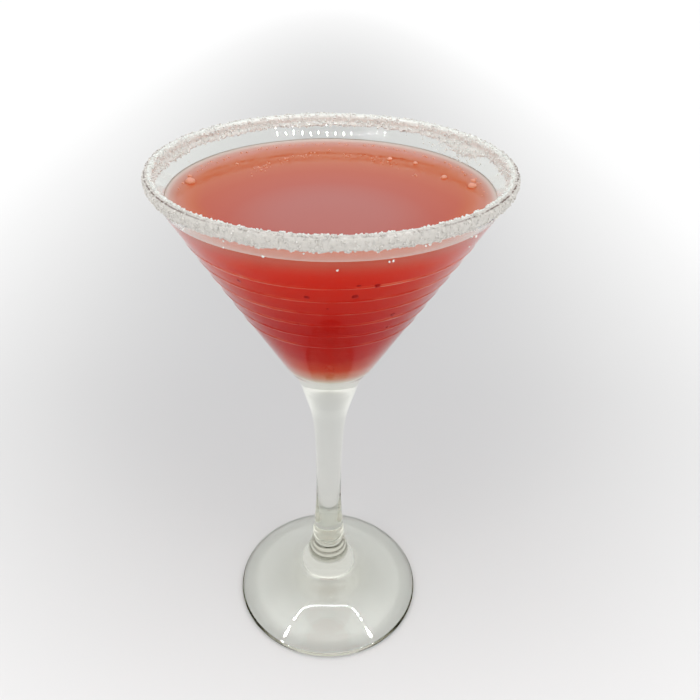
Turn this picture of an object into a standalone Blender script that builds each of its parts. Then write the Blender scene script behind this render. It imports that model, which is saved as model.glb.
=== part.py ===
"""Strawberry daiquiri in a stemmed cocktail glass with a sugared rim.

Metres, +Z up. The origin is the middle of the foot's underside, on the surface that the glass stands on,
and the front of the glass is towards -Y. Three solids are made: the glass, the drink in it, and the crust
of sugar that caps its rim. Everything round is an outline of (radius, height) points turned about Z.
"""

import math
import random

import bmesh
import bpy
from mathutils import Euler, Vector

# Driving dimensions
HEIGHT = 0.1770  # table to the lip of the glass
RIM_RADIUS = 0.0506  # outside of the lip
FOOT_RADIUS = 0.0354
WAIST_RADIUS = 0.00455  # the stem at its thinnest
WAIST_HEIGHT = 0.057
DRINK_LEVEL = 0.1691
GAP = 0.0003  # left between pieces that touch
GLASS_SIDES = 48

# The bowl is a plain cone outside, and its wall turns upright just under the lip
CONE_TOP = 0.1747
CONE_BOTTOM = 0.1120
CONE_SLOPE = 0.5654  # radius gained for each metre of height
CONE_TILT = math.atan(CONE_SLOPE)  # its side, from the vertical
WALL = 0.0015  # square to the side
LIP_RADIUS = WALL / 2
LIP_CENTRE = (RIM_RADIUS - LIP_RADIUS, HEIGHT - LIP_RADIUS)
INSIDE_CONE_END = 0.121  # below this the wall thickens to the bowl's round bottom
INSIDE_BOTTOM = 0.1114

# Raised rings round the outside of the bowl
RING_COUNT = 6
RING_TOP = 0.1603
RING_PITCH = 0.0053
RING_WIDTH = 0.0017
RING_PROUD = 0.0003

# Foot, and the weld where the stem was joined to it
FOOT_EDGE = 0.0019
FOOT_REST_INNER = 0.0292
FOOT_REST_OUTER = 0.0336
FOOT_HOLLOW = 0.0068  # how high the middle of its underside is
WELD_RADIUS = 0.00605
WELD_HEIGHT = 0.0310

# Edge of the drink, which climbs the glass a little
MENISCUS_CLIMB = 0.0006
MENISCUS_WIDTH = 0.0022

# Sugar crust: how far it reaches below the lip, and how thick it is from GAP off the glass outwards
CRUST_SECTIONS = 168
CRUST_OUTER_DEPTH = 0.0032
CRUST_INNER_DEPTH = 0.0020
CRUST_RAGGED = 0.0006  # unevenness of both lower edges
CRUST_THIN = 0.00035
CRUST_THICK = 0.00085
# Where wet sugar ran further down inside: angle from the front and half width in degrees, extra depth
CRUST_RUNS = ((-103, 24, 0.0016), (-140, 10, 0.0008), (72, 20, 0.0009), (121, 15, 0.0029))
CRYSTAL_COUNT = 60
CRYSTAL_EDGE = 0.0009
CRYSTAL_VARY = 0.3  # spread of the crystals' sizes, as a share
SEED = 7


def clear_scene():
    for obj in list(bpy.data.objects):
        bpy.data.objects.remove(obj)


def surface(name, colour, roughness, transmission=0.0):
    material = bpy.data.materials.new(name)
    material.use_nodes = True
    shader = material.node_tree.nodes["Principled BSDF"]
    shader.inputs["Base Color"].default_value = (*colour, 1)
    shader.inputs["Roughness"].default_value = roughness
    shader.inputs["Metallic"].default_value = 0.0
    shader.inputs["Transmission Weight"].default_value = transmission
    material.diffuse_color = (*colour, 1)
    return material


def add_object(name, shape, material, sharp_angle):
    """Makes a smooth-shaded object of a bmesh, with edges that bend more than sharp_angle left sharp."""
    mesh = bpy.data.meshes.new(name)
    shape.to_mesh(mesh)
    shape.free()
    mesh.shade_smooth()
    mesh.set_sharp_from_angle(angle=math.radians(sharp_angle))
    mesh.materials.append(material)
    obj = bpy.data.objects.new(name, mesh)
    bpy.context.scene.collection.objects.link(obj)
    return obj


def polar(centre, radius, degrees):
    """The point at that angle up from the outward direction, in the (radius, height) plane."""
    turn = math.radians(degrees)
    return (centre[0] + radius * math.cos(turn), centre[1] + radius * math.sin(turn))


def arc(centre, radius, start, end, steps):
    return [polar(centre, radius, start + (end - start) * i / steps) for i in range(steps + 1)]


def sweep(start, pull_start, pull_end, end, steps):
    """Points on a smooth curve that leaves start towards pull_start and reaches end from pull_end."""
    points = []
    for i in range(steps + 1):
        t = i / steps
        weights = ((1 - t) ** 3, 3 * (1 - t) ** 2 * t, 3 * (1 - t) * t**2, t**3)
        handles = (start, pull_start, pull_end, end)
        points.append(tuple(sum(w * h[axis] for w, h in zip(weights, handles)) for axis in (0, 1)))
    return points


def cone_radius(height):
    """Outside of the bowl's cone, without its raised rings."""
    return RIM_RADIUS - CONE_SLOPE * (CONE_TOP - height)


def outside_radius(height):
    """Outside of the bowl at this height, up to the lip."""
    return min(cone_radius(height), RIM_RADIUS)


def inside_radius(height, clearance=0.0):
    """Inside of the bowl at this height, above its thick bottom, or a line that much further in."""
    cone = cone_radius(height) - (WALL + clearance) / math.cos(CONE_TILT)
    return min(cone, RIM_RADIUS - WALL - clearance)


def foot_outline():
    """From the middle of the hollow underside out round the edge and up to the weld."""
    hollow = [(0, FOOT_HOLLOW), (0.0090, FOOT_HOLLOW * 0.93), (0.0190, FOOT_HOLLOW * 0.55)]
    rest = [(FOOT_REST_INNER, 0), (FOOT_REST_OUTER, 0)]
    edge = arc((FOOT_RADIUS - FOOT_EDGE / 2, FOOT_EDGE / 2), FOOT_EDGE / 2, -40, 70, 3)
    top = sweep((0.0330, 0.0023), (0.0270, 0.0042), (0.0200, 0.0064), (0.0160, 0.0094), 3)
    flare = sweep(top[-1], (0.0116, 0.0127), (0.0082, 0.0180), (0.00635, 0.0270), 5)
    groove = [(0.0058, 0.0286)]
    return hollow + rest + edge + top[:-1] + flare + groove


def stem_outline():
    """From the weld up the stem to the shoulder under the bowl."""
    weld = [(WELD_RADIUS, WELD_HEIGHT - 0.001), (WELD_RADIUS, WELD_HEIGHT + 0.0006), (0.0058, 0.0335)]
    waist = (WAIST_RADIUS, WAIST_HEIGHT)
    neck = (0.0068, 0.0920)
    lower = sweep(weld[-1], (0.0050, 0.0410), (WAIST_RADIUS, 0.0470), waist, 4)
    upper = sweep(waist, (0.0046, 0.0720), (0.0048, 0.0840), neck, 5)
    shoulder = sweep(neck, (0.0078, 0.0955), (0.0089, 0.0990), (0.00975, 0.1024), 3)
    return weld[:-1] + lower + upper[1:] + shoulder[1:]


def ringed_cone_outline():
    """Round the bowl's bottom and up its side to the lip, with a low rounded ridge at each ring."""
    side = (cone_radius(CONE_BOTTOM), CONE_BOTTOM)
    points = sweep((0.0100, 0.1030), (0.0102, 0.1040), (0.0120, 0.1084), side, 4)
    for ring in reversed(range(RING_COUNT)):
        middle = RING_TOP - ring * RING_PITCH
        for step, proud in ((-0.5, 0), (0, RING_PROUD), (0.5, 0)):
            height = middle + step * RING_WIDTH
            points.append((cone_radius(height) + proud, height))
    return points + [(RIM_RADIUS, CONE_TOP)]


def inside_outline(top, clearance=0.0):
    """Down the inside of the bowl and round its bottom to the axis, or a line that much further in."""
    start = (inside_radius(INSIDE_CONE_END, clearance), INSIDE_CONE_END)
    pull = (inside_radius(0.114, clearance), 0.114)
    bottom = (0, INSIDE_BOTTOM + clearance)
    side = [(inside_radius(top, clearance), top)]
    return side + sweep(start, pull, (0.0060 - clearance / 2, bottom[1]), bottom, 5)


def turned(outline, sides):
    """Turns an outline that starts and ends on the Z axis about it, as one closed shape, faces outwards."""
    shape = bmesh.new()
    points = [shape.verts.new((radius, 0, height)) for radius, height in outline]
    edges = [shape.edges.new(pair) for pair in zip(points, points[1:])]
    bmesh.ops.spin(
        shape,
        geom=points + edges,
        cent=(0, 0, 0),
        axis=(0, 0, 1),
        angle=math.tau,
        steps=sides,
        use_duplicate=False,
    )
    bmesh.ops.remove_doubles(shape, verts=shape.verts[:], dist=1e-6)
    bmesh.ops.recalc_face_normals(shape, faces=shape.faces[:])
    return shape


def make_glass():
    lip = arc(LIP_CENTRE, LIP_RADIUS, 0, 180, 5)
    bend = CONE_TOP + (WALL / math.cos(CONE_TILT) - WALL) / CONE_SLOPE  # the same bend, inside
    outline = foot_outline() + stem_outline() + ringed_cone_outline() + lip + inside_outline(bend)
    material = surface("clear glass", (0.86, 0.88, 0.85), 0.03, transmission=1.0)
    return add_object("glass", turned(outline, GLASS_SIDES), material, 50)


def make_drink():
    edge_radius = inside_radius(DRINK_LEVEL, GAP)
    top = [
        (0, DRINK_LEVEL),
        (edge_radius - MENISCUS_WIDTH, DRINK_LEVEL),
        (edge_radius - MENISCUS_WIDTH / 4, DRINK_LEVEL + MENISCUS_CLIMB / 4),
    ]
    outline = top + inside_outline(DRINK_LEVEL + MENISCUS_CLIMB, GAP)
    material = surface("strawberry daiquiri", (0.56, 0.06, 0.03), 0.08)
    return add_object("drink", turned(outline, GLASS_SIDES), material, 40)


def crust_section(angle, rng):
    """The crust cut across at an angle from the front: a closed line of (radius, height) over the lip."""
    outer_end = HEIGHT - CRUST_OUTER_DEPTH + CRUST_RAGGED * rng.uniform(-1, 1)
    inner_end = HEIGHT - CRUST_INNER_DEPTH + CRUST_RAGGED * rng.uniform(-1, 1)
    for middle, half_width, extra in CRUST_RUNS:
        away = (angle - middle + 180) % 360 - 180
        inner_end -= extra * math.exp(-((away / half_width) ** 2))

    # The outer side, over the lip and down the inner side, each point at its own thickness
    skin = []
    for share in (0.3, 0.75):
        height = outer_end + share * (LIP_CENTRE[1] - outer_end)
        skin.append((outside_radius(height) + GAP + rng.uniform(CRUST_THIN, CRUST_THICK), height))
    for turn in (40, 90, 140):
        skin.append(polar(LIP_CENTRE, LIP_RADIUS + GAP + rng.uniform(CRUST_THIN, CRUST_THICK), turn))
    height = inner_end + 0.6 * (LIP_CENTRE[1] - inner_end)
    skin.append((inside_radius(height, GAP + rng.uniform(CRUST_THIN, CRUST_THICK)), height))

    # The side against the glass, where the flat steps of the arc still keep the gap
    steps = 3
    under = (LIP_RADIUS + GAP) / math.cos(math.pi / 2 / steps)
    beneath = [(inside_radius(inner_end, GAP), inner_end)]
    beneath += arc(LIP_CENTRE, under, 180, 0, steps)
    beneath += [(RIM_RADIUS + GAP, CONE_TOP), (outside_radius(outer_end) + GAP, outer_end)]
    return skin + beneath


def around(angle, radius, height):
    """The point at that angle from the front, in degrees, with +X at 90."""
    turn = math.radians(angle)
    return Vector((radius * math.sin(turn), -radius * math.cos(turn), height))


def crust_ring(rng):
    """The crust as a closed ring of sections, each joined to the next."""
    shape = bmesh.new()
    loops = []
    for section in range(CRUST_SECTIONS):
        angle = 360 * section / CRUST_SECTIONS
        loops.append([shape.verts.new(around(angle, *point)) for point in crust_section(angle, rng)])
    for here, there in zip(loops, loops[1:] + loops[:1]):
        for i, corner in enumerate(here):
            after = (i + 1) % len(here)
            shape.faces.new((corner, there[i], there[after], here[after]))
    bmesh.ops.triangulate(shape, faces=shape.faces[:])
    bmesh.ops.recalc_face_normals(shape, faces=shape.faces[:])
    return shape


def crystal_place(index, edge, rng):
    """A point on the crust for a crystal, so far off the glass that its corners stay clear of it."""
    angle = 360 * (index + rng.uniform(0.1, 0.9)) / CRYSTAL_COUNT
    off_glass = GAP / 2 + edge * math.sqrt(3) / 2
    if index % 2:
        height = HEIGHT - rng.uniform(0.0010, 0.0022)
        return around(angle, outside_radius(height) + off_glass, height)
    return around(angle, *polar(LIP_CENTRE, LIP_RADIUS + off_glass, rng.uniform(40, 140)))


def add_crystals(crust, material, rng):
    """Joins sugar crystals, each a small block at its own angle, to the crust."""
    heap = bpy.data.collections.new("crystals")
    bpy.context.scene.collection.children.link(heap)
    for index in range(CRYSTAL_COUNT):
        edge = CRYSTAL_EDGE * rng.uniform(1 - CRYSTAL_VARY, 1 + CRYSTAL_VARY)
        block = bmesh.new()
        bmesh.ops.create_cube(block, size=edge)
        mesh = bpy.data.meshes.new("crystal")
        block.to_mesh(mesh)
        block.free()
        mesh.materials.append(material)
        crystal = bpy.data.objects.new("crystal", mesh)
        crystal.location = crystal_place(index, edge, rng)
        crystal.rotation_euler = Euler([rng.uniform(0, math.pi) for _ in range(3)])
        heap.objects.link(crystal)
    join = crust.modifiers.new("crystals", "BOOLEAN")
    join.operation = "UNION"
    join.operand_type = "COLLECTION"
    join.collection = heap
    join.solver = "MANIFOLD"
    bpy.context.view_layer.objects.active = crust
    bpy.ops.object.modifier_apply(modifier=join.name)
    for crystal in list(heap.objects):
        bpy.data.objects.remove(crystal)
    bpy.data.collections.remove(heap)


def make_sugar_rim():
    rng = random.Random(SEED)
    material = surface("caster sugar", (0.87, 0.84, 0.82), 0.45)
    crust = add_object("sugar_rim", crust_ring(rng), material, 35)
    add_crystals(crust, material, rng)
    return crust


clear_scene()
make_glass()
make_drink()
make_sugar_rim()
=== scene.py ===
"""Looks of the strawberry daiquiri: blown glass, the drink, its bubbles and the sugared rim.

Metres, +Z up, with the glass standing on Z = 0 and its front towards -Y. Every round piece is drawn as half
of its outline, in (radius, height) points, and spun about the glass's axis.
"""

import math
import random

import bpy
from mathutils import Euler, Matrix, Vector


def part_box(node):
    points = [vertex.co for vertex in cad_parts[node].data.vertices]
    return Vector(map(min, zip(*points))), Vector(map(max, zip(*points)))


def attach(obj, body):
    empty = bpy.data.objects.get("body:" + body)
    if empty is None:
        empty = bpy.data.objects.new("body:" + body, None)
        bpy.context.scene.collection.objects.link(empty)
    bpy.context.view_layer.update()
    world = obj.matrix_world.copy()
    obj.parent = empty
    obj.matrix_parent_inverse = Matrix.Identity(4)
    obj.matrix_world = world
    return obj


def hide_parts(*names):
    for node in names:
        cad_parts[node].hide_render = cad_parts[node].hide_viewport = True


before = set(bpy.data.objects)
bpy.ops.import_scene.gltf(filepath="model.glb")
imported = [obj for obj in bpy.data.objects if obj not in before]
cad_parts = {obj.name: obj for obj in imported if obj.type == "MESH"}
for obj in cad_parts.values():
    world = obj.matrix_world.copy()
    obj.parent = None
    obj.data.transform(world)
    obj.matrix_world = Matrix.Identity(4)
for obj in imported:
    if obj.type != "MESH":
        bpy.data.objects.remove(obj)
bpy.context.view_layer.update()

MM = 0.001

# Bowl
RIM_RADIUS = 50.6 * MM
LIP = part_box("glass")[1].z
WALL = 1.5 * MM
LIP_RADIUS = WALL / 2
LIP_CENTRE = (RIM_RADIUS - LIP_RADIUS, LIP - LIP_RADIUS)
CONE_TOP = 174.7 * MM
CONE_BOTTOM = 112 * MM
CONE_SLOPE = 0.5654  # radius gained for each unit of height
CONE_TILT = math.atan(CONE_SLOPE)
INSIDE_CONE_END = 121 * MM
INSIDE_BOTTOM = 111.4 * MM
RING_COUNT = 6
RING_TOP = 160.3 * MM
RING_PITCH = 5.3 * MM
RING_WIDTH = 1.1 * MM
RING_PROUD = 0.2 * MM
FOOT_RADIUS = 35.4 * MM
FOOT_EDGE = 1.9 * MM
TURNED_STEPS = 160

# Drink
DRINK_LEVEL = 169.1 * MM
MENISCUS_CLIMB = 1.0 * MM
INTO_WALL = 0.06 * MM  # the drink reaches this far into the glass, so that no film of air shows

# Bubbles: the share of its radius that one sinks, and how flat it is
BUBBLE_SUNK = 0.3
BUBBLE_FLAT = 0.8
# Single bubbles: angle from the front, distance from the middle, size
BUBBLES = (
    (-98, 41.2 * MM, 1.5 * MM),
    (-104, 43.0 * MM, 0.7 * MM),
    (-127, 36.4 * MM, 0.5 * MM),
    (146, 33.3 * MM, 0.8 * MM),
    (132, 35.4 * MM, 0.7 * MM),
    (108, 35.3 * MM, 0.9 * MM),
    (95, 40.8 * MM, 1.3 * MM),
    (101, 42.6 * MM, 0.8 * MM),
)
# A loose line of fine bubbles behind: nearest the middle at the sides, and straying from its curve
LINE_COUNT = 70
LINE_ANGLES = (115, 245)
LINE_RADIUS = 34 * MM
LINE_BEND = 8 * MM
LINE_STRAY = 1.2 * MM
LINE_SIZES = (0.12 * MM, 0.3 * MM)
# A fringe of fine bubbles along the glass
FRINGE_COUNT = 110
FRINGE_ANGLES = (85, 275)
FRINGE_RADII = (42.2 * MM, 44.6 * MM)
FRINGE_SIZES = (0.12 * MM, 0.38 * MM)

# Specks of strawberry against the glass: radius and flatness of one of size 1
BIT_RADIUS = 0.8 * MM
BIT_FLAT = 0.55
BIT_LUMPS = 0.5 * MM
BIT_LUMP_DEPTH = 0.25 * MM
# Small ones anywhere on the wall
BIT_COUNT = 26
BIT_HEIGHTS = (126 * MM, 166 * MM)
BIT_SIZES = (0.2, 0.5)
# Single specks: angle from the front, height, size
BITS = (
    (-8.5, 156.5 * MM, 0.9),
    (9.0, 156.8 * MM, 1.1),
    (16.0, 160.5 * MM, 0.9),
    (9.5, 161.0 * MM, 0.7),
    (-35, 158.0 * MM, 0.8),
    (-47, 152.5 * MM, 0.7),
    (30, 146.0 * MM, 0.9),
    (32, 140.0 * MM, 0.8),
    (-62, 160.0 * MM, 0.8),
)

# Sugar crust on the lip
CRUST_STEPS = 620
CRUST_OUTER_DEPTH = 3.3 * MM
CRUST_INNER_DEPTH = 3.1 * MM
CRUST_THICK = 0.45 * MM
CRUST_BITE = 0.05 * MM  # the crust's back lies this deep in the glass
CRUST_RAGGED = 0.8 * MM
CRUST_TIP = 0.1 * MM
CRUST_LUMPS = 0.6 * MM
CRUST_LUMP_DEPTH = 0.35 * MM
# Where the crust has run down inside: angle from the front, half width, extra depth
CRUST_RUNS = ((-103, 24, 0.8 * MM), (-140, 10, 0.5 * MM), (121, 15, 2.2 * MM))
GRAIN = 0.45 * MM
GRAIN_SHAPE = (1.25, 1, 0.85)
GRAIN_SIZES = (0.55, 1.35)
GRAIN_COUNT = 6500
BARE_ANGLE = math.radians(52)  # where the bare lip shows, up from the outward direction
BARE_WIDTH = 0.5 * MM
# Grains fallen on the outside: angle from the front, height below the lip
STRAYS_OUTSIDE = (
    (-18.5, 6.6 * MM),
    (-31, 6.5 * MM),
    (2, 9.6 * MM),
    (16.5, 7.8 * MM),
    (17.6, 7.6 * MM),
    (48, 7.4 * MM),
    (50, 11.5 * MM),
)
# Other fallen grains: how many on each side, and the patch dusted inside on the right as angle and spread
STRAY_COUNT = 18
STRAY_SIZES_OUTSIDE = (0.6, 1.2)
STRAY_SIZES_INSIDE = (0.4, 0.9)
DUST_COUNT = 150
DUST_ANGLE = (124, 7)

# Lamps of the white tent: a bowed bar of two rows in front
LAMP_HEIGHT = 0.8
LAMP_FRONT = -0.619
LAMP_FRONT_REACH = 0.51
LAMP_BOW = 0.53
LAMP_COUNT = 14
LAMP_ROWS_APART = 0.0195
LAMP_RADIUS = 3.2 * MM
LAMP_POWER = 0.12
# Larger lamps in a horseshoe nearer the middle, with its two ends at the back
SHOE_SIDE = 0.34
SHOE_END_SIDE = 0.3
SHOE_FRONT = -0.325
SHOE_MIDDLE = -0.1
SHOE_BACK = 0.048
SHOE_FRONT_COUNT = 15
SHOE_SIDE_COUNT = 4
SHOE_RADIUS = 9 * MM
SHOE_POWER = 0.75

# The tent's cloth: its plain brightness, and the direction of the dark opening for the camera
TENT_LIGHT = 0.76
OPENING = (0, -0.69, 0.724)

# Tone of the photograph: light that goes in, light that comes out
TONE_STEPS = ((0.03, 0.005), (0.06, 0.012), (0.1, 0.038), (0.16, 0.11), (0.25, 0.235), (0.4, 0.4), (0.7, 0.7))

# Paper, with painted shade: a greyer pool that narrows towards the front and stretches behind
PAPER_RADIUS = 4
SHADE_POOL_CENTRE = 0.15
SHADE_POOL_RADIUS = 0.34
SHADE_POOL_BEHIND = 0.2
SHADE_POOL_BEFORE = -1.2

# Camera: its focal length and frame in pixels, its turns in degrees, its sensor in millimetres
FOCAL_LENGTH = 694.5
FRAME_WIDTH = 700
SENSOR_WIDTH = 36
CAMERA_SHIFT = 0.029  # share of the frame's width
CAMERA_DOWN = 33.4
CAMERA_ROLL = 0.4
CAMERA_PLACE = (0, -189.2 * MM, 239.6 * MM)


# Helpers


def deselect():
    for obj in bpy.context.selected_objects:
        obj.select_set(False)


def apply(piece, modifier):
    deselect()
    bpy.context.view_layer.objects.active = piece
    piece.select_set(True)
    bpy.ops.object.modifier_apply(modifier=modifier.name)


def polar(centre, radius, degrees):
    turn = math.radians(degrees)
    return (centre[0] + radius * math.cos(turn), centre[1] + radius * math.sin(turn))


def arc(centre, radius, start, end, steps):
    return [polar(centre, radius, start + (end - start) * i / steps) for i in range(steps + 1)]


def sweep(start, pull_start, pull_end, end, steps):
    """Points on a smooth curve that leaves start towards pull_start and reaches end from pull_end."""
    points = []
    for i in range(steps + 1):
        t = i / steps
        weights = ((1 - t) ** 3, 3 * (1 - t) ** 2 * t, 3 * (1 - t) * t**2, t**3)
        handles = (start, pull_start, pull_end, end)
        points.append(tuple(sum(w * h[axis] for w, h in zip(weights, handles)) for axis in (0, 1)))
    return points


def in_mm(*points):
    return [(radius * MM, height * MM) for radius, height in points]


def cone_radius(height):
    return RIM_RADIUS - CONE_SLOPE * (CONE_TOP - height)


def outside_radius(height):
    return min(cone_radius(height), RIM_RADIUS)


def inside_radius(height, clearance=0.0):
    cone = cone_radius(height) - (WALL + clearance) / math.cos(CONE_TILT)
    return min(cone, RIM_RADIUS - WALL - clearance)


def in_fixed_order(mesh):
    """Rebuilds a mesh with its points, faces and corners in an order that follows from their places alone."""
    order = sorted(range(len(mesh.vertices)), key=lambda i: tuple(mesh.vertices[i].co))
    points = [tuple(mesh.vertices[i].co) for i in order]
    place = {old: new for new, old in enumerate(order)}
    faces = []
    for face in mesh.polygons:
        corners = [place[i] for i in face.vertices]
        first = corners.index(min(corners))
        faces.append(corners[first:] + corners[:first])
    mesh.clear_geometry()
    mesh.from_pydata(points, [], sorted(faces), shade_flat=False)


def spun(name, outline, steps):
    """A closed shape turned from an outline that is closed, or whose ends lie on the axis."""
    deselect()
    bpy.ops.mesh.primitive_plane_add(size=MM, location=(0, 0, 0))
    piece = bpy.context.object
    piece.name = piece.data.name = name
    bpy.ops.object.mode_set(mode="EDIT")
    bpy.ops.mesh.select_all(action="SELECT")
    bpy.ops.mesh.merge(type="CENTER")
    bpy.ops.transform.translate(value=(outline[0][0], 0, outline[0][1]))
    for (radius, height), (next_radius, next_height) in zip(outline, outline[1:]):
        step = (next_radius - radius, 0, next_height - height)
        bpy.ops.mesh.extrude_vertices_move(TRANSFORM_OT_translate={"value": step})
    bpy.ops.mesh.select_all(action="SELECT")
    bpy.ops.mesh.spin(steps=steps, angle=math.tau, center=(0, 0, 0), axis=(0, 0, 1))
    bpy.ops.mesh.select_all(action="SELECT")
    bpy.ops.mesh.remove_doubles(threshold=0.001 * MM)
    bpy.ops.mesh.normals_make_consistent(inside=False)
    bpy.ops.object.mode_set(mode="OBJECT")
    in_fixed_order(piece.data)
    return piece


def strewn_copies(name, seed_piece, places):
    """One piece of copies of a small piece, each with its own mesh, at these matrices."""
    copies = []
    for place in places:
        copy = seed_piece.copy()
        copy.data = seed_piece.data.copy()
        copy.matrix_world = place
        bpy.context.scene.collection.objects.link(copy)
        copies.append(copy)
    deselect()
    for copy in copies:
        copy.select_set(True)
    bpy.context.view_layer.objects.active = copies[0]
    bpy.ops.object.join()
    piece = bpy.context.object
    bpy.ops.object.transform_apply(location=True, rotation=True, scale=True)
    piece.name = piece.data.name = name
    return piece


def at(angle, radius, height):
    """The point at an angle in degrees from the front."""
    turn = math.radians(angle)
    return Vector((radius * math.sin(turn), -radius * math.cos(turn), height))


def tumbled(place, size, draw):
    """A matrix that puts a piece there, at that scale and turned at random."""
    turn = Euler([draw.uniform(0, math.tau) for _ in range(3)])
    return Matrix.LocRotScale(place, turn, (size, size, size))


def roughen(piece, size, depth):
    """Pushes the skin in and out by clouds of a real size."""
    clouds = bpy.data.textures.new("clouds", "CLOUDS")
    clouds.noise_scale = size
    clouds.noise_depth = 2
    modifier = piece.modifiers.new("lumps", "DISPLACE")
    modifier.texture = clouds
    modifier.texture_coords = "LOCAL"
    modifier.strength = depth
    modifier.mid_level = 0.45
    apply(piece, modifier)


def hexed(code):
    """An sRGB hex colour as linear light, with full alpha."""
    parts = [int(code[i : i + 2], 16) / 255 for i in (1, 3, 5)]
    return (*(((c + 0.055) / 1.055) ** 2.4 if c > 0.04045 else c / 12.92 for c in parts), 1)


def new_material(name, settings):
    """A material whose Principled shader has these settings, and that shader."""
    material = bpy.data.materials.new(name)
    material.use_nodes = True
    shader = material.node_tree.nodes["Principled BSDF"]
    for socket, value in settings.items():
        shader.inputs[socket].default_value = value
    return material, shader


def add_node(tree, kind, settings=None, values=None, links=None):
    """A node with its own settings, its inputs' values and the outputs that its inputs are linked from."""
    node = tree.nodes.new(kind)
    for name, value in (settings or {}).items():
        setattr(node, name, value)
    for name, value in (values or {}).items():
        node.inputs[name].default_value = value
    for name, source in (links or {}).items():
        tree.links.new(source, node.inputs[name])
    return node


def colour_steps(ramp, steps):
    """Sets a ramp's stops from (place, colour) pairs."""
    stops = ramp.color_ramp.elements
    stops.remove(stops[1])
    stops[0].position, stops[0].color = steps[0][0], hexed(steps[0][1])
    for place, colour in steps[1:]:
        stops.new(place).color = hexed(colour)


# Glass


def inside_outline(top, clearance=0.0, steps=14):
    """The bowl's inner wall from a height down to its middle."""
    start = (inside_radius(INSIDE_CONE_END, clearance), INSIDE_CONE_END)
    pull = (inside_radius(114 * MM, clearance), 114 * MM)
    bottom = (0, INSIDE_BOTTOM + clearance)
    side = [(inside_radius(top, clearance), top)]
    return side + sweep(start, pull, (6.0 * MM - clearance / 2, bottom[1]), bottom, steps)


def foot_and_stem():
    hollow = sweep(*in_mm((0, 6.8), (9, 6.8), (17, 4.4), (28.6, 0.15)), 16)
    rest = in_mm((29.5, 0), (32.6, 0), (33.6, 0.12))
    edge = arc((FOOT_RADIUS - FOOT_EDGE / 2, FOOT_EDGE / 2 + 0.1 * MM), FOOT_EDGE / 2, -45, 66, 7)
    top = sweep(*in_mm((34.2, 2.0), (27, 4.2), (20, 6.4), (16, 9.4)), 14)
    flare = sweep(top[-1], *in_mm((11.6, 12.7), (8.2, 18.0), (6.35, 27.0)), 22)
    groove = in_mm((5.95, 28.0), (5.75, 28.6), (5.75, 29.2))
    weld = in_mm((5.95, 29.8), (6.05, 30.8), (6.0, 31.8))
    lower = sweep(*in_mm((5.8, 33.5), (5.0, 41), (4.55, 47), (4.55, 57)), 16)
    upper = sweep(*in_mm((4.55, 57), (4.6, 72), (4.8, 84), (6.8, 92)), 24)
    shoulder = sweep(*in_mm((6.8, 92), (7.8, 95.5), (8.9, 99), (9.75, 102.4)), 10)
    return hollow + rest + edge + top + flare[1:] + groove + weld + lower + upper[1:] + shoulder[1:]


def glass_outline():
    side = (cone_radius(CONE_BOTTOM), CONE_BOTTOM)
    bottom = sweep(*in_mm((10.0, 103.0), (10.2, 104.0), (12.0, 108.4)), side, 10)
    rings = []
    for ring in reversed(range(RING_COUNT)):
        middle = RING_TOP - ring * RING_PITCH
        for step in range(-4, 5):
            height = middle + RING_WIDTH * step / 6
            proud = RING_PROUD * (1 + math.cos(math.pi * min(abs(step), 3) / 3)) / 2
            rings.append((cone_radius(height) + proud, height))
    below = 172 * MM
    rim = sweep(
        (cone_radius(below), below),
        (cone_radius(174.4 * MM), 174.4 * MM),
        (RIM_RADIUS, 174.9 * MM),
        (RIM_RADIUS, LIP_CENTRE[1]),
        6,
    )
    lip = arc(LIP_CENTRE, LIP_RADIUS, 0, 180, 10)
    straight_end = 174.5 * MM
    inner_rim = sweep(
        lip[-1],
        (RIM_RADIUS - WALL, 175.6 * MM),
        (inside_radius(174.95 * MM), 174.95 * MM),
        (inside_radius(straight_end), straight_end),
        8,
    )
    support = [(inside_radius(height), height) for height in (174.2 * MM, 165 * MM)]
    outside = foot_and_stem() + bottom + rings + rim
    return outside + lip[1:] + inner_rim[1:] + support + inside_outline(INSIDE_CONE_END)[1:]


def glass_material():
    # Soda-lime glass, machine-made: clear and smooth, faintly straw-green where it is thick
    clear = {
        "Base Color": hexed("#FAFCF9"),
        "Roughness": 0.0,
        "IOR": 1.5,
        "Specular Tint": (0.75, 0.75, 0.75, 1),
        "Transmission Weight": 1.0,
    }
    material, _ = new_material("soda_lime_glass", clear)
    tree = material.node_tree
    volume = add_node(
        tree, "ShaderNodeVolumeAbsorption", values={"Color": hexed("#E0DDC8"), "Density": 18}
    )
    tree.links.new(volume.outputs["Volume"], tree.nodes["Material Output"].inputs["Volume"])
    return material


def make_glass():
    glass = spun("blown_glass", glass_outline(), TURNED_STEPS)
    glass.data.materials.append(glass_material())
    return glass


# Drink


def drink_outline():
    edge = inside_radius(DRINK_LEVEL + MENISCUS_CLIMB, -INTO_WALL)
    rise = sweep(
        (edge - 4.0 * MM, DRINK_LEVEL),
        (edge - 1.6 * MM, DRINK_LEVEL),
        (edge - 0.5 * MM, DRINK_LEVEL + 0.25 * MM),
        (edge, DRINK_LEVEL + MENISCUS_CLIMB),
        14,
    )
    flat = [(edge * share, DRINK_LEVEL) for share in (0, 0.25, 0.5, 0.7, 0.85)]
    return flat + rise + inside_outline(DRINK_LEVEL, -INTO_WALL)[1:]


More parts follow.
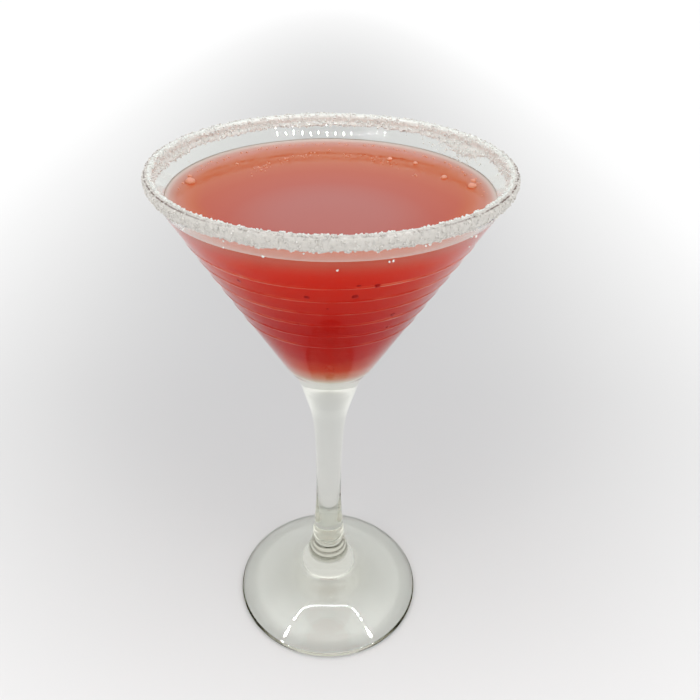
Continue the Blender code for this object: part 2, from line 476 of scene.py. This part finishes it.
def side_material():
    # Strained strawberry against glass: no film of air, so no gloss of its own. Cloudy red, with painted
    # light: brighter orange-red towards the top and paler at the bottom and at the top edge, as light through
    # the drink would make it, and a painted highlight line where each raised ring of the glass gathers light
    material, shader = new_material("daiquiri_against_glass", {"Roughness": 0.3, "Specular IOR Level": 0.05})
    tree = material.node_tree
    place = add_node(tree, "ShaderNodeTexCoord")
    axes = add_node(tree, "ShaderNodeSeparateXYZ", links={"Vector": place.outputs["Object"]})
    height = add_node(
        tree,
        "ShaderNodeMapRange",
        values={"From Min": INSIDE_BOTTOM, "From Max": DRINK_LEVEL},
        links={"Value": axes.outputs["Z"]},
    )
    # Painted light: the red is brighter towards the top and paler at the bottom and at the top edge
    side = add_node(tree, "ShaderNodeValToRGB", links={"Fac": height.outputs["Result"]})
    colour_steps(
        side,
        (
            (0.01, "#EADCCF"),
            (0.06, "#E09C8A"),
            (0.14, "#D45C48"),
            (0.26, "#C4342B"),
            (0.5, "#C22A22"),
            (0.78, "#D6432A"),
            (0.88, "#DE462C"),
            (0.92, "#E2523A"),
            (0.95, "#E36252"),
            (1.0, "#E28072"),
        ),
    )
    # Painted highlight: a thin light line at each ring of the glass, broken up and weaker at the middle of
    # the front
    ring_low, ring_high = RING_TOP - (RING_COUNT - 0.5) * RING_PITCH, RING_TOP + RING_PITCH / 2
    ring = add_node(
        tree,
        "ShaderNodeMapRange",
        {"clamp": False},
        {"From Min": ring_low, "From Max": ring_high, "To Max": RING_COUNT},
        {"Value": axes.outputs["Z"]},
    )
    turn = add_node(tree, "ShaderNodeMath", {"operation": "FRACT"}, links={0: ring.outputs["Result"]})
    off = add_node(tree, "ShaderNodeMath", {"operation": "SUBTRACT"}, {1: 0.5}, {0: turn.outputs["Value"]})
    distance = add_node(tree, "ShaderNodeMath", {"operation": "ABSOLUTE"}, links={0: off.outputs["Value"]})
    line = add_node(
        tree,
        "ShaderNodeMapRange",
        {"interpolation_type": "SMOOTHSTEP"},
        {"From Min": 0.1, "From Max": 0.03},
        {"Value": distance.outputs["Value"]},
    )
    inside = add_node(
        tree,
        "ShaderNodeMapRange",
        {"interpolation_type": "SMOOTHSTEP"},
        {"From Min": ring_low, "From Max": ring_low + 0.1 * MM},
        {"Value": axes.outputs["Z"]},
    )
    below_top = add_node(
        tree,
        "ShaderNodeMapRange",
        {"interpolation_type": "SMOOTHSTEP"},
        {"From Min": ring_high, "From Max": ring_high - 0.1 * MM},
        {"Value": axes.outputs["Z"]},
    )
    uneven = add_node(
        tree,
        "ShaderNodeTexNoise",
        values={"Scale": 120.0, "Detail": 2.0},
        links={"Vector": place.outputs["Object"]},
    )
    broken = add_node(
        tree,
        "ShaderNodeMapRange",
        values={"From Min": 0.35, "From Max": 0.65, "To Min": 0.25, "To Max": 0.95},
        links={"Value": uneven.outputs["Fac"]},
    )
    aside = add_node(tree, "ShaderNodeMath", {"operation": "ABSOLUTE"}, links={0: axes.outputs["X"]})
    fading = add_node(
        tree,
        "ShaderNodeMapRange",
        {"interpolation_type": "SMOOTHSTEP"},
        {"From Max": 20 * MM, "To Min": 0.3},
        {"Value": aside.outputs["Value"]},
    )
    amount = line.outputs["Result"]
    for factor in (inside, below_top, broken, fading):
        product = add_node(
            tree, "ShaderNodeMath", {"operation": "MULTIPLY"}, links={0: amount, 1: factor.outputs["Result"]}
        )
        amount = product.outputs["Value"]
    # The painted ring highlight mixed over the drink's red
    painted_ring_highlight = add_node(
        tree,
        "ShaderNodeMix",
        {"data_type": "RGBA"},
        {7: hexed("#EE9480")},
        {"Factor": amount, 6: side.outputs["Color"]},
    )
    tree.links.new(painted_ring_highlight.outputs[2], shader.inputs["Base Color"])
    return material


def top_material():
    # The drink's free surface: glossy as water over a cloudy body, with painted reflections: pinker in the
    # middle, and pale where it creeps up the glass
    material, shader = new_material("daiquiri_surface", {"Roughness": 0.06, "IOR": 1.34})
    tree = material.node_tree
    place = add_node(tree, "ShaderNodeTexCoord")
    # Partly painted reflection: the drink's own orange-red, turning pinker towards a point a little in front
    # of the middle
    centre = add_node(
        tree,
        "ShaderNodeMapping",
        values={"Location": (0, 20 * MM, 0), "Scale": (1, 1, 0)},
        links={"Vector": place.outputs["Object"]},
    )
    away = add_node(
        tree, "ShaderNodeVectorMath", {"operation": "LENGTH"}, links={0: centre.outputs["Vector"]}
    )
    middle = add_node(
        tree,
        "ShaderNodeMapRange",
        {"interpolation_type": "SMOOTHSTEP"},
        {"From Min": 10 * MM, "From Max": 56 * MM},
        {"Value": away.outputs["Value"]},
    )
    body = add_node(tree, "ShaderNodeValToRGB", links={"Fac": middle.outputs["Result"]})
    colour_steps(body, ((0.0, "#AE6863"), (0.3, "#B25C52"), (0.6, "#B55A4B"), (1.0, "#BC634B")))
    # Painted reflection: the surface pales towards the glass, where the meniscus would mirror the white tent
    flat = add_node(
        tree, "ShaderNodeVectorMath", {"operation": "MULTIPLY"}, {1: (1, 1, 0)}, {0: place.outputs["Object"]}
    )
    reach = add_node(tree, "ShaderNodeVectorMath", {"operation": "LENGTH"}, links={0: flat.outputs["Vector"]})
    edge = add_node(
        tree,
        "ShaderNodeMapRange",
        values={"From Min": 38 * MM, "From Max": 46.3 * MM},
        links={"Value": reach.outputs["Value"]},
    )
    painted_rim_reflection = add_node(tree, "ShaderNodeValToRGB", links={"Fac": edge.outputs["Result"]})
    colour_steps(
        painted_rim_reflection,
        (
            (0.0, "#BC634B"),
            (0.25, "#BE6955"),
            (0.6, "#BF7A6B"),
            (0.82, "#C4988D"),
            (1.0, "#CEC4BC"),
        ),
    )
    amount = add_node(
        tree,
        "ShaderNodeMapRange",
        {"interpolation_type": "SMOOTHSTEP"},
        {"From Min": 35 * MM, "From Max": 41 * MM},
        {"Value": reach.outputs["Value"]},
    )
    mix = add_node(
        tree,
        "ShaderNodeMix",
        {"data_type": "RGBA"},
        links={"Factor": amount.outputs["Result"], 6: body.outputs["Color"], 7: painted_rim_reflection.outputs["Color"]},
    )
    tree.links.new(mix.outputs[2], shader.inputs["Base Color"])
    return material


def make_drink():
    drink = spun("daiquiri", drink_outline(), TURNED_STEPS)
    deselect()
    drink.select_set(True)
    bpy.ops.object.shade_smooth_by_angle(angle=math.radians(35))
    drink.data.materials.append(side_material())
    drink.data.materials.append(top_material())
    for face in drink.data.polygons:
        face.material_index = 1 if face.normal.z > 0.3 else 0
    return drink


def make_dome():
    """The part of a bubble of radius 1 that stands above the drink."""
    deselect()
    bpy.ops.mesh.primitive_uv_sphere_add(segments=20, ring_count=12, radius=1, location=(0, 0, 0))
    dome = bpy.context.object
    bpy.ops.object.mode_set(mode="EDIT")
    bpy.ops.mesh.select_all(action="SELECT")
    bpy.ops.mesh.bisect(
        plane_co=(0, 0, -BUBBLE_SUNK), plane_no=(0, 0, 1), use_fill=True, clear_inner=True
    )
    bpy.ops.mesh.select_all(action="SELECT")
    bpy.ops.transform.resize(value=(1, 1, BUBBLE_FLAT))
    bpy.ops.object.mode_set(mode="OBJECT")
    in_fixed_order(dome.data)
    return dome


def bubble_material():
    # Thin-skinned bubbles of the drink: paler than it and glossy
    material, _ = new_material("bubbles", {"Base Color": hexed("#DC9884"), "Roughness": 0.05, "IOR": 1.34})
    return material


def make_bubbles():
    """Single large bubbles, a loose line of fine ones behind, and a fringe of them along the glass."""
    draw = random.Random(3)
    spots = list(BUBBLES)
    for _ in range(LINE_COUNT):
        angle = draw.uniform(*LINE_ANGLES)
        curve = LINE_RADIUS - LINE_BEND * abs(math.sin(math.radians(angle)))
        spots.append((angle, curve + draw.gauss(0, LINE_STRAY), draw.uniform(*LINE_SIZES)))
    for _ in range(FRINGE_COUNT):
        spots.append((draw.uniform(*FRINGE_ANGLES), draw.uniform(*FRINGE_RADII), draw.uniform(*FRINGE_SIZES)))
    places = []
    for angle, radius, size in spots:
        places.append(Matrix.LocRotScale(at(angle, radius, DRINK_LEVEL), None, (size,) * 3))
    dome = make_dome()
    bubbles = strewn_copies("bubbles", dome, places)
    bpy.data.objects.remove(dome)
    bubbles.data.materials.append(bubble_material())
    return bubbles


def flesh_material():
    # Flesh of the fruit: darker than the drink and dull
    settings = {"Base Color": hexed("#B02A20"), "Roughness": 0.6, "Specular IOR Level": 0.1}
    material, _ = new_material("strawberry_flesh", settings)
    return material


def make_bits():
    """Specks of strawberry that lie against the glass, seen through it."""
    deselect()
    bpy.ops.mesh.primitive_ico_sphere_add(subdivisions=3, radius=BIT_RADIUS, location=(0, 0, 0))
    bit = bpy.context.object
    bpy.ops.object.mode_set(mode="EDIT")
    bpy.ops.mesh.select_all(action="SELECT")
    bpy.ops.transform.resize(value=(1, 1, BIT_FLAT))
    bpy.ops.mesh.faces_shade_smooth()
    bpy.ops.object.mode_set(mode="OBJECT")
    roughen(bit, BIT_LUMPS, BIT_LUMP_DEPTH)
    draw = random.Random(8)
    spots = list(BITS)
    for _ in range(BIT_COUNT):
        spots.append((draw.uniform(-180, 180), draw.uniform(*BIT_HEIGHTS), draw.uniform(*BIT_SIZES)))
    places = []
    for angle, height, size in spots:
        facing = Euler((math.pi / 2 + CONE_TILT, 0, math.radians(angle)))
        places.append(Matrix.LocRotScale(at(angle, inside_radius(height), height), facing, (size,) * 3))
    bits = strewn_copies("strawberry_bits", bit, places)
    bpy.data.objects.remove(bit)
    bits.data.materials.append(flesh_material())
    return bits


# Sugar


def crust_outline():
    """Closed outline: over the lip, down the outer skin, back up and down in the glass, up the inner skin."""
    outer_end, inner_end = LIP - CRUST_OUTER_DEPTH, LIP - CRUST_INNER_DEPTH
    steps = 7
    shares = [i / steps for i in range(1, steps)]
    down = [LIP_CENTRE[1] + (outer_end - LIP_CENTRE[1]) * share for share in shares]
    inner_down = [LIP_CENTRE[1] + (inner_end - LIP_CENTRE[1]) * share for share in shares]
    thin = [CRUST_THICK * (1 - 0.5 * share) for share in shares]
    over = arc(LIP_CENTRE, LIP_RADIUS + CRUST_THICK, 180, 0, 8)
    outer = [(outside_radius(z) + thick, z) for thick, z in zip(thin, down)]
    outer_tip = [
        (outside_radius(outer_end) + CRUST_TIP, outer_end),
        (outside_radius(outer_end) - CRUST_BITE, outer_end),
    ]
    back = [(outside_radius(z) - CRUST_BITE, z) for z in reversed(down)]
    under = arc(LIP_CENTRE, LIP_RADIUS - CRUST_BITE, 0, 180, 8)
    inner_back = [(inside_radius(z) + CRUST_BITE, z) for z in inner_down]
    inner_tip = [
        (inside_radius(inner_end) + CRUST_BITE, inner_end),
        (inside_radius(inner_end) - CRUST_TIP, inner_end),
    ]
    inner = [(inside_radius(z) - thick, z) for thick, z in zip(thin, inner_down)]
    return over + outer + outer_tip + back + under + inner_back + inner_tip + inner[::-1] + over[:1]


def run_depth(angle):
    """How much deeper the inner crust hangs at an angle from the front."""
    extra = 0.0
    for middle, half_width, depth in CRUST_RUNS:
        offset = (math.degrees(angle) - middle + 180) % 360 - 180
        if abs(offset) < half_width:
            extra = max(extra, depth * math.cos(offset / half_width * math.pi / 2) ** 2)
    return extra


def ragged_wave(seed, counts):
    """A closed wave round the rim, made of sine waves of random size and start."""
    draw = random.Random(seed)
    parts = [(count, draw.uniform(0.4, 1), draw.uniform(0, math.tau)) for count in counts]
    total = sum(size for _, size, _ in parts)
    return lambda angle: sum(size * math.sin(count * angle + start) for count, size, start in parts) / total


def make_crust():
    crust = spun("sugar_crust", crust_outline(), CRUST_STEPS)
    outer_wave = ragged_wave(11, (9, 23, 47, 83, 127, 171, 203))
    inner_wave = ragged_wave(12, (7, 19, 41, 77, 113, 151, 197))
    top = LIP_CENTRE[1]
    for vertex in crust.data.vertices:
        x, y, z = vertex.co
        if z >= top:
            continue
        radius = math.hypot(x, y)
        angle = math.atan2(x, -y)
        if radius > (outside_radius(z) + inside_radius(z)) / 2:
            depth, wall = CRUST_OUTER_DEPTH - LIP_RADIUS, outside_radius
            more = CRUST_RAGGED * outer_wave(angle)
        else:
            depth, wall = CRUST_INNER_DEPTH - LIP_RADIUS, inside_radius
            more = CRUST_RAGGED * inner_wave(angle) + run_depth(angle)
        height = top - (top - z) * (depth + more) / depth
        stretch = (radius + wall(height) - wall(z)) / radius
        vertex.co = (x * stretch, y * stretch, height)
    return crust


def make_crystal():
    """A sugar crystal: a small block, longer than wide and flatter than either."""
    deselect()
    bpy.ops.mesh.primitive_cube_add(size=GRAIN, location=(0, 0, 0))
    crystal = bpy.context.object
    bpy.ops.object.mode_set(mode="EDIT")
    bpy.ops.mesh.select_all(action="SELECT")
    bpy.ops.transform.resize(value=GRAIN_SHAPE)
    bpy.ops.object.mode_set(mode="OBJECT")
    return crystal


def scatter(piece, crystal, count_per_area, seed):
    """Turns the piece into copies of the crystal strewn over its faces, turned and scaled at random."""
    tree = bpy.data.node_groups.new("strewn_crystals", "GeometryNodeTree")
    tree.interface.new_socket("Geometry", in_out="INPUT", socket_type="NodeSocketGeometry")
    tree.interface.new_socket("Geometry", in_out="OUTPUT", socket_type="NodeSocketGeometry")
    start = add_node(tree, "NodeGroupInput")
    points = add_node(
        tree,
        "GeometryNodeDistributePointsOnFaces",
        values={"Density": count_per_area, "Seed": seed},
        links={"Mesh": start.outputs["Geometry"]},
    )
    shape = add_node(tree, "GeometryNodeObjectInfo", values={"Object": crystal})
    full_turn = {1: (math.tau,) * 3, "Seed": seed + 1}
    turn = add_node(tree, "FunctionNodeRandomValue", {"data_type": "FLOAT_VECTOR"}, full_turn)
    sizes = {2: GRAIN_SIZES[0], 3: GRAIN_SIZES[1], "Seed": seed + 2}
    size = add_node(tree, "FunctionNodeRandomValue", {"data_type": "FLOAT"}, sizes)
    copies = add_node(
        tree,
        "GeometryNodeInstanceOnPoints",
        links={
            "Points": points.outputs["Points"],
            "Instance": shape.outputs["Geometry"],
            "Rotation": turn.outputs[0],
            "Scale": size.outputs[1],
        },
    )
    real = add_node(tree, "GeometryNodeRealizeInstances", links={"Geometry": copies.outputs["Instances"]})
    add_node(tree, "NodeGroupOutput", links={"Geometry": real.outputs["Geometry"]})
    modifier = piece.modifiers.new("strewn", "NODES")
    modifier.node_group = tree
    apply(piece, modifier)


def sugar_material(name, shades, bare):
    """White sugar, with the glass's lip showing as a broken dark line where bare is above 0."""
    # Clear crystals that scatter light between them: white with grey hollows and a soft sparkle
    settings = {
        "Roughness": 0.35,
        "IOR": 1.54,
        "Subsurface Weight": 0.5,
        "Subsurface Radius": (1.0, 0.97, 0.92),
        "Subsurface Scale": 0.5 * MM,
    }
    material, shader = new_material(name, settings)
    tree = material.node_tree
    place = add_node(tree, "ShaderNodeTexCoord")
    grain = add_node(
        tree,
        "ShaderNodeTexNoise",
        values={"Scale": 1 / (2 * GRAIN), "Detail": 3.0, "Roughness": 0.6},
        links={"Vector": place.outputs["Object"]},
    )
    shade = add_node(tree, "ShaderNodeValToRGB", links={"Fac": grain.outputs["Fac"]})
    colour_steps(shade, shades)
    axes = add_node(tree, "ShaderNodeSeparateXYZ", links={"Vector": place.outputs["Object"]})
    flat = add_node(tree, "ShaderNodeCombineXYZ", links={"X": axes.outputs["X"], "Y": axes.outputs["Y"]})
    reach = add_node(tree, "ShaderNodeVectorMath", {"operation": "LENGTH"}, links={0: flat.outputs["Vector"]})
    # How far a point lies to the side of the line that leaves the lip's centre at BARE_ANGLE
    slope = math.tan(BARE_ANGLE)
    level = add_node(
        tree,
        "ShaderNodeMath",
        {"operation": "MULTIPLY_ADD"},
        {1: -slope, 2: LIP_CENTRE[0] * slope - LIP_CENTRE[1]},
        {0: reach.outputs["Value"]},
    )
    beside = add_node(
        tree, "ShaderNodeMath", {"operation": "ADD"}, links={0: level.outputs["Value"], 1: axes.outputs["Z"]}
    )
    distance = add_node(tree, "ShaderNodeMath", {"operation": "ABSOLUTE"}, links={0: beside.outputs["Value"]})
    line = add_node(
        tree,
        "ShaderNodeMapRange",
        {"interpolation_type": "SMOOTHSTEP"},
        {"From Min": BARE_WIDTH, "From Max": BARE_WIDTH / 4, "To Max": bare},
        {"Value": distance.outputs["Value"]},
    )
    patches = add_node(
        tree,
        "ShaderNodeTexNoise",
        values={"Scale": 1 / (3 * GRAIN), "Detail": 1.0},
        links={"Vector": place.outputs["Object"]},
    )
    broken = add_node(
        tree,
        "ShaderNodeMapRange",
        {"interpolation_type": "SMOOTHSTEP"},
        {"From Min": 0.36, "From Max": 0.5},
        {"Value": patches.outputs["Fac"]},
    )
    sides = add_node(tree, "ShaderNodeMath", {"operation": "ABSOLUTE"}, links={0: axes.outputs["X"]})
    strength = add_node(
        tree,
        "ShaderNodeMapRange",
        {"interpolation_type": "SMOOTHSTEP"},
        {"From Min": RIM_RADIUS / 3, "From Max": RIM_RADIUS * 0.9, "To Min": 0.3},
        {"Value": sides.outputs["Value"]},
    )
    amount = line.outputs["Result"]
    for factor in (broken, strength):
        product = add_node(
            tree, "ShaderNodeMath", {"operation": "MULTIPLY"}, links={0: amount, 1: factor.outputs["Result"]}
        )
        amount = product.outputs["Value"]
    colour = add_node(
        tree,
        "ShaderNodeMix",
        {"data_type": "RGBA"},
        {7: hexed("#74645F")},
        {"Factor": amount, 6: shade.outputs["Color"]},
    )
    tree.links.new(colour.outputs[2], shader.inputs["Base Color"])
    return material


def stray_places():
    """Where grains have fallen below the crust, outside and in, and dusted the wall on the right."""
    draw = random.Random(5)
    outside, inside = [], []
    for angle, drop in STRAYS_OUTSIDE:
        outside.append((angle, LIP - drop))
    for _ in range(STRAY_COUNT):
        outside.append((draw.uniform(-110, 110), LIP - CRUST_OUTER_DEPTH - abs(draw.gauss(0.8, 1.0)) * MM))
        inside.append((draw.uniform(90, 270), LIP - CRUST_INNER_DEPTH - abs(draw.gauss(0.5, 0.8)) * MM))
    for _ in range(DUST_COUNT):
        inside.append((draw.gauss(*DUST_ANGLE), LIP - CRUST_INNER_DEPTH - abs(draw.gauss(1.6, 1.1)) * MM))
    places = []
    for angle, height in outside:
        place = at(angle, outside_radius(height) + GRAIN / 5, height)
        places.append(tumbled(place, draw.uniform(*STRAY_SIZES_OUTSIDE), draw))
    for angle, height in inside:
        height = max(height, DRINK_LEVEL + MENISCUS_CLIMB)
        place = at(angle, inside_radius(height) - GRAIN / 6, height)
        places.append(tumbled(place, draw.uniform(*STRAY_SIZES_INSIDE), draw))
    return places


def make_sugar():
    crust = make_crust()
    crystals = crust.copy()
    crystals.data = crust.data.copy()
    crystals.name = crystals.data.name = "sugar_crystals"
    bpy.context.scene.collection.objects.link(crystals)
    roughen(crust, CRUST_LUMPS, CRUST_LUMP_DEPTH)
    crystal = make_crystal()
    skin_area = sum(face.area for face in crystals.data.polygons)
    scatter(crystals, crystal, GRAIN_COUNT / skin_area, 21)
    strays = strewn_copies("stray_grains", crystal, stray_places())
    bpy.data.objects.remove(crystal)
    # Painted light: one sugar in two shades, lighter and cooler on the inner crust than on the outer, as if
    # lit more inside
    outer = sugar_material("white_sugar", ((0.3, "#BCB9B3"), (0.45, "#CAC6C0"), (0.7, "#D1CEC8")), 1.0)
    inner = sugar_material("white_sugar_painted_lighter_inside", ((0.3, "#D6DAD4"), (0.45, "#E2E5E0"), (0.7, "#E7EAE5")), 0.0)
    for piece in (crust, crystals, strays):
        piece.data.materials.clear()
        piece.data.materials.append(outer)
        piece.data.materials.append(inner)
        for face in piece.data.polygons:
            middle = face.center
            face.material_index = int(math.hypot(middle.x, middle.y) < LIP_CENTRE[0])
    return crust, crystals, strays


# Stage


def paper_material():
    # Matt white paper, with painted shade: a little greyer in a soft pool behind the glass
    material, shader = new_material("matt_paper", {"Roughness": 0.9, "Specular IOR Level": 0.0})
    tree = material.node_tree
    place = add_node(tree, "ShaderNodeTexCoord")
    axes = add_node(tree, "ShaderNodeSeparateXYZ", links={"Vector": place.outputs["Object"]})
    behind = add_node(
        tree,
        "ShaderNodeMapRange",
        values={"From Min": SHADE_POOL_CENTRE, "From Max": SHADE_POOL_CENTRE + 2, "To Max": 2 * SHADE_POOL_BEHIND},
        links={"Value": axes.outputs["Y"]},
    )
    before = add_node(
        tree,
        "ShaderNodeMapRange",
        values={"From Min": SHADE_POOL_CENTRE, "From Max": SHADE_POOL_CENTRE - 2, "To Max": 2 * SHADE_POOL_BEFORE},
        links={"Value": axes.outputs["Y"]},
    )
    along = add_node(
        tree, "ShaderNodeMath", {"operation": "ADD"}, links={0: behind.outputs[0], 1: before.outputs[0]}
    )
    flat = add_node(tree, "ShaderNodeCombineXYZ", links={"X": axes.outputs["X"], "Y": along.outputs["Value"]})
    away = add_node(tree, "ShaderNodeVectorMath", {"operation": "LENGTH"}, links={0: flat.outputs["Vector"]})
    # Painted shade: greyer inside the pool, white further out
    painted_shade_pool = add_node(
        tree, "ShaderNodeMapRange", values={"From Max": SHADE_POOL_RADIUS}, links={"Value": away.outputs["Value"]}
    )
    shade = add_node(tree, "ShaderNodeValToRGB", links={"Fac": painted_shade_pool.outputs["Result"]})
    shade.color_ramp.interpolation = "B_SPLINE"
    colour_steps(
        shade,
        (
            (0.0, "#BFBFC0"),
            (0.25, "#C4C4C5"),
            (0.5, "#D4D4D4"),
            (0.8, "#EAEAEA"),
            (1.0, "#F2F2F2"),
        ),
    )
    tree.links.new(shade.outputs["Color"], shader.inputs["Base Color"])
    return material


def make_floor():
    deselect()
    just_under = (0, 0, -0.02 * MM)
    bpy.ops.mesh.primitive_circle_add(
        vertices=96, radius=PAPER_RADIUS, fill_type="NGON", location=just_under
    )
    floor = bpy.context.object
    floor.name = "floor"
    floor.data.materials.append(paper_material())
    return floor


def make_room():
    """Soft light as in a white tent: brightest overhead, less so in front, plain behind."""
    world = bpy.data.worlds.new("white_tent")
    world.use_nodes = True
    bpy.context.scene.world = world
    tree = world.node_tree
    direction = add_node(tree, "ShaderNodeTexCoord")
    axes = add_node(tree, "ShaderNodeSeparateXYZ", links={"Vector": direction.outputs["Generated"]})
    smooth = {"interpolation_type": "SMOOTHSTEP"}
    high = add_node(
        tree,
        "ShaderNodeMapRange",
        smooth,
        {"From Min": 0.58, "From Max": 0.86, "To Max": 1.1},
        {"Value": axes.outputs["Z"]},
    )
    not_behind = add_node(
        tree, "ShaderNodeMapRange", smooth, {"From Min": 0.5, "From Max": 0.15}, {"Value": axes.outputs["Y"]}
    )
    low = add_node(
        tree,
        "ShaderNodeMapRange",
        smooth,
        {"From Min": 0.8, "From Max": 0.35, "To Min": 0.15, "To Max": 0.7},
        {"Value": axes.outputs["Z"]},
    )
    front = add_node(
        tree, "ShaderNodeMapRange", smooth, {"From Min": 0.1, "From Max": -0.7}, {"Value": axes.outputs["Y"]}
    )
    times, plus = {"operation": "MULTIPLY"}, {"operation": "ADD"}
    roof = add_node(
        tree, "ShaderNodeMath", times, links={0: high.outputs[0], 1: not_behind.outputs[0]}
    )
    face = add_node(tree, "ShaderNodeMath", times, links={0: low.outputs[0], 1: front.outputs[0]})
    both = add_node(tree, "ShaderNodeMath", plus, links={0: roof.outputs[0], 1: face.outputs[0]})
    bright = add_node(tree, "ShaderNodeMath", plus, {1: TENT_LIGHT}, {0: both.outputs["Value"]})
    facing = add_node(
        tree,
        "ShaderNodeVectorMath",
        {"operation": "DOT_PRODUCT"},
        {1: OPENING},
        {0: direction.outputs["Generated"]},
    )
    opening = add_node(
        tree,
        "ShaderNodeMapRange",
        smooth,
        {"From Min": 0.966, "From Max": 0.91, "To Min": 0.1},
        {"Value": facing.outputs["Value"]},
    )
    light = add_node(
        tree, "ShaderNodeMath", times, links={0: bright.outputs[0], 1: opening.outputs[0]}
    )
    background = tree.nodes["Background"]
    background.inputs["Color"].default_value = (1, 1, 1, 1)
    tree.links.new(light.outputs["Value"], background.inputs["Strength"])


def hang_lamps(radius, power, places):
    """Small lamps that show only as dots of light in what is glossy."""
    lamp = bpy.data.lights.new("tent_lamp", "POINT")
    lamp.shadow_soft_size = radius
    lamp.energy = power
    for x, y in places:
        bulb = bpy.data.objects.new("tent_lamp", lamp)
        bulb.location = (x, y, LAMP_HEIGHT)
        bulb.visible_diffuse = bulb.visible_transmission = False
        bpy.context.scene.collection.objects.link(bulb)


def make_lamps():
    bar, shoe = [], []
    for row in (-LAMP_ROWS_APART / 2, LAMP_ROWS_APART / 2):
        for i in range(LAMP_COUNT):
            x = LAMP_FRONT_REACH * (2 * i / (LAMP_COUNT - 1) - 1)
            bar.append((x, LAMP_FRONT + row + LAMP_BOW * x**2))
    for i in range(SHOE_FRONT_COUNT):
        turn = math.pi * i / (SHOE_FRONT_COUNT - 1)
        y = SHOE_MIDDLE + (SHOE_FRONT - SHOE_MIDDLE) * math.sin(turn)
        shoe.append((SHOE_SIDE * math.cos(turn), y))
    for i in range(1, SHOE_SIDE_COUNT + 1):
        share = i / SHOE_SIDE_COUNT
        x = SHOE_SIDE + (SHOE_END_SIDE - SHOE_SIDE) * share**2
        y = SHOE_MIDDLE + (SHOE_BACK - SHOE_MIDDLE) * share
        shoe += [(x, y), (-x, y)]
    hang_lamps(LAMP_RADIUS, LAMP_POWER, bar)
    hang_lamps(SHOE_RADIUS, SHOE_POWER, shoe)


def make_camera():
    lens = bpy.data.cameras.new("camera")
    lens.sensor_width = SENSOR_WIDTH
    lens.lens = FOCAL_LENGTH / FRAME_WIDTH * SENSOR_WIDTH
    lens.shift_x = CAMERA_SHIFT
    lens.clip_start, lens.clip_end = 0.01, 20
    camera = bpy.data.objects.new("camera", lens)
    tilt = Matrix.Rotation(math.radians(90 - CAMERA_DOWN), 3, "X")
    roll = Matrix.Rotation(math.radians(CAMERA_ROLL), 3, "Z")
    camera.rotation_euler = (tilt @ roll).to_euler()
    camera.location = CAMERA_PLACE
    bpy.context.scene.collection.objects.link(camera)
    bpy.context.scene.camera = camera


def make_tone():
    """A photograph's tone: light and middle shades kept, faint reflections sunk into the dark."""
    settings = bpy.context.scene.view_settings
    settings.view_transform = "Standard"
    settings.use_curve_mapping = True
    points = settings.curve_mapping.curves[3].points
    for place in TONE_STEPS:
        points.new(*place)
    settings.curve_mapping.update()


glass = make_glass()
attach(glass, "root")
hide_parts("glass")

drink = make_drink()
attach(drink, "root")
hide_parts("drink")

for extra in (make_bubbles(), make_bits()):
    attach(extra, "root")
    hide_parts("drink")

for piece in make_sugar():
    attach(piece, "root")
    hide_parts("sugar_rim")

make_floor()
make_room()
make_lamps()
make_camera()
make_tone()

# Light reaches the paper through clear glass as sharply as it does in life
bpy.context.scene.cycles.blur_glossy = 0
